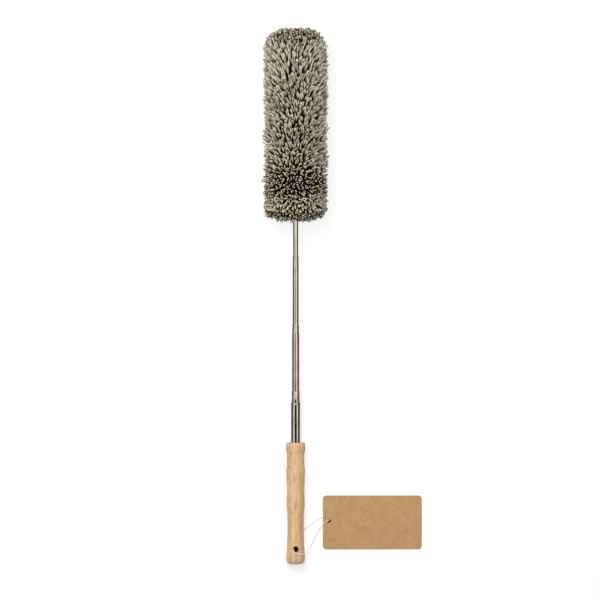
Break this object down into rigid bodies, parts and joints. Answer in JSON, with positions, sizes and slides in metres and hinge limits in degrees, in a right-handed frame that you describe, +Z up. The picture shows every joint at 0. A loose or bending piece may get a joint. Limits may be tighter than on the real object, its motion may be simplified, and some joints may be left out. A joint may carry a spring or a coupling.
{
  "type": "telescopic duster",
  "caption": "Hand duster with a turned bamboo handle, a pole of telescoping steel tubes and a soft round pile head, lying with a card tag on a string.",
  "frame": {"origin": "on the floor, under the middle of the lying duster's length and width, with the tag and the string left out", "axes": "+Z up, +Y from the butt of the handle to the tip of the head, +X towards the side on which the tag lies; the pole rises by 3.41 degrees towards +Y, because the head is thicker than the handle"},
  "size_m": [0.2225, 0.7522, 0.1009],
  "materials": {
    "bamboo": "clear satin lacquer on bamboo",
    "steel": "polished stainless steel",
    "nylon": "black nylon",
    "polypropylene": "grey polypropylene",
    "sheathed_wire": "plastic sheath on a steel wire",
    "foam": "soft grey foam",
    "microfibre": "taupe looped microfibre",
    "kraft": "plain brown kraft card",
    "cotton": "white twisted cotton"
  },
  "bodies": {
    "handle": {"bamboo_handle": "bamboo", "tube_1": "steel", "tube_1_end_plug": "nylon", "hang_tag": "kraft", "tag_string": "cotton"},
    "tube_2": {"tube_2": "steel", "guide_bush_2": "nylon"},
    "tube_3": {"tube_3": "steel", "guide_bush_3": "nylon"},
    "tube_4": {"tube_4": "steel", "guide_bush_4": "nylon"},
    "head": {"tube_5": "steel", "guide_bush_5": "nylon", "pole_adapter": "polypropylene", "head_socket": "polypropylene", "head_spine": "sheathed_wire", "foam_core": "foam", "tip_button": "polypropylene", "pile_slice_1": "microfibre", "pile_slice_2": "microfibre", "pile_slice_3": "microfibre", "pile_slice_4": "microfibre", "pile_slice_5": "microfibre", "pile_slice_6": "microfibre", "pile_slice_7": "microfibre", "pile_slice_8": "microfibre"}
  },
  "joints": [
    {"name": "tube_2_slide", "type": "slide", "parent": "handle", "child": "tube_2", "axis": [0, 0.9982, 0.0595], "range_m": [-0.0079, 0.1494]},
    {"name": "tube_3_slide", "type": "slide", "parent": "tube_2", "child": "tube_3", "axis": [0, 0.9982, 0.0595], "range_m": [-0.0853, 0.0702]},
    {"name": "tube_4_slide", "type": "slide", "parent": "tube_3", "child": "tube_4", "axis": [0, 0.9982, 0.0595], "range_m": [-0.0867, 0.0736]},
    {"name": "tube_5_slide", "type": "slide", "parent": "tube_4", "child": "head", "axis": [0, 0.9982, 0.0595], "range_m": [-0.0618, 0.1051]}
  ]
}
